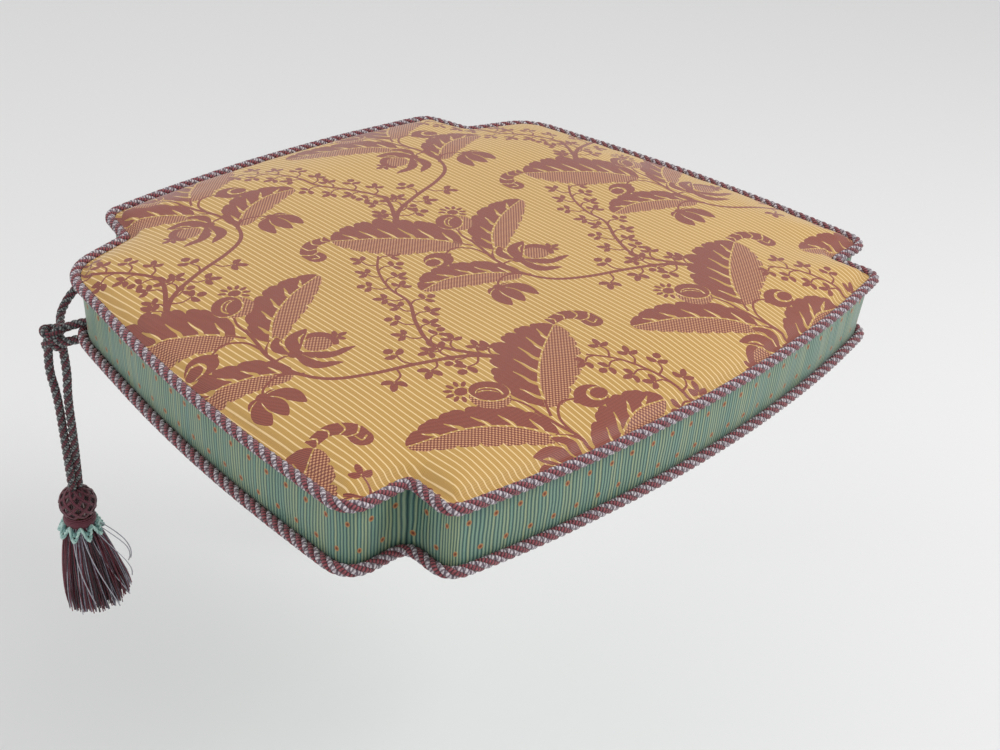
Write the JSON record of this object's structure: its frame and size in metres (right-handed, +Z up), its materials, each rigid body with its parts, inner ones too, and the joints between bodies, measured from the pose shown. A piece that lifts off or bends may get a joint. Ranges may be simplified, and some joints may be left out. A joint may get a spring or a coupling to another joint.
{
  "type": "chair seat pad",
  "caption": "Boxed chair seat pad with a crowned figured top, green boxing, twisted rope welts, notched corners, rear tasselled ties and a zip in the back.",
  "frame": {"origin": "middle of the flat underside, where the pad rests on the chair's seat", "axes": "+Z up, front edge faces -Y, +X to the right of someone looking at the front"},
  "size_m": [0.516, 0.4489, 0.2945],
  "materials": {
    "damask": "woven, slight sheen, old gold ground with rust figure and pale stripes",
    "boxing_cloth": "ribbed green silk-like cloth with fine stripes and small rust diamonds",
    "underside_cloth": "the boxing cloth again, plain matt side",
    "welt_rope": "twisted rayon rope, burgundy and silver grey strands",
    "lip_tape": "plain woven tape",
    "ticking": "plain unbleached cotton",
    "wadding": "soft fibre",
    "foam": "open-cell foam",
    "zip_tape": "close-woven tape",
    "zip_coil": "nylon coil",
    "zip_metal": "old brass plating, satin",
    "tie_rope": "twisted rayon rope, burgundy and dark grey strands",
    "turned_wood": "raw turned wood",
    "tassel_yarn": "burgundy yarn netting",
    "ruff_yarn": "blue-green chenille loops",
    "skirt_thread": "hanging rayon threads, burgundy, black and grey"
  },
  "bodies": {
    "pad": {"top_panel": "damask", "bottom_panel": "underside_cloth", "boxing_front": "boxing_cloth", "boxing_left": "boxing_cloth", "boxing_right": "boxing_cloth", "boxing_back_left": "boxing_cloth", "boxing_back_right": "boxing_cloth", "boxing_back_upper": "boxing_cloth", "boxing_back_lower": "boxing_cloth", "top_welt_rope": "welt_rope", "bottom_welt_rope": "welt_rope", "top_welt_lip": "lip_tape", "bottom_welt_lip": "lip_tape", "ticking_case": "ticking", "wadding_upper": "wadding", "wadding_lower": "wadding", "foam_core": "foam", "zip_tape_upper": "zip_tape", "zip_tape_lower": "zip_tape", "zip_coil_upper": "zip_coil", "zip_coil_lower": "zip_coil", "zip_stops": "zip_metal", "tie_anchors_left": "lip_tape", "tie_cord_left": "tie_rope", "tie_knot_left": "tie_rope", "tie_anchors_right": "lip_tape", "tie_cord_right": "tie_rope", "tie_knot_right": "tie_rope"},
    "zip_slider": {"zip_slider": "zip_metal"},
    "zip_pull": {"zip_pull": "zip_metal"},
    "tassel_left": {"tassel_cord_outer_left": "tie_rope", "tassel_cord_inner_left": "tie_rope", "tassel_mould_left": "turned_wood", "tassel_head_cover_left": "tassel_yarn", "tassel_neck_band_left": "tassel_yarn", "tassel_ruff_left": "ruff_yarn", "tassel_skirt_left": "skirt_thread"},
    "tassel_right": {"tassel_cord_outer_right": "tie_rope", "tassel_cord_inner_right": "tie_rope", "tassel_mould_right": "turned_wood", "tassel_head_cover_right": "tassel_yarn", "tassel_neck_band_right": "tassel_yarn", "tassel_ruff_right": "ruff_yarn", "tassel_skirt_right": "skirt_thread"}
  },
  "joints": [
    {"name": "zip_slide", "type": "hinge", "parent": "pad", "child": "zip_slider", "pos_m": [0, -0.764, 0.026], "axis": [0, 0, 1], "range_deg": [0, 12]},
    {"name": "zip_pull_flip", "type": "hinge", "parent": "zip_slider", "child": "zip_pull", "pos_m": [0.1029, 0.21506, 0.026], "axis": [0.9945, -0.1045, 0], "range_deg": [0, 165]},
    {"name": "tassel_left_swing", "type": "hinge", "parent": "pad", "child": "tassel_left", "pos_m": [-0.233, 0.157, 0], "axis": [0, 1, 0], "range_deg": [-15, 60]},
    {"name": "tassel_right_swing", "type": "hinge", "parent": "pad", "child": "tassel_right", "pos_m": [0.233, 0.157, 0], "axis": [0, -1, 0], "range_deg": [-15, 60]}
  ]
}
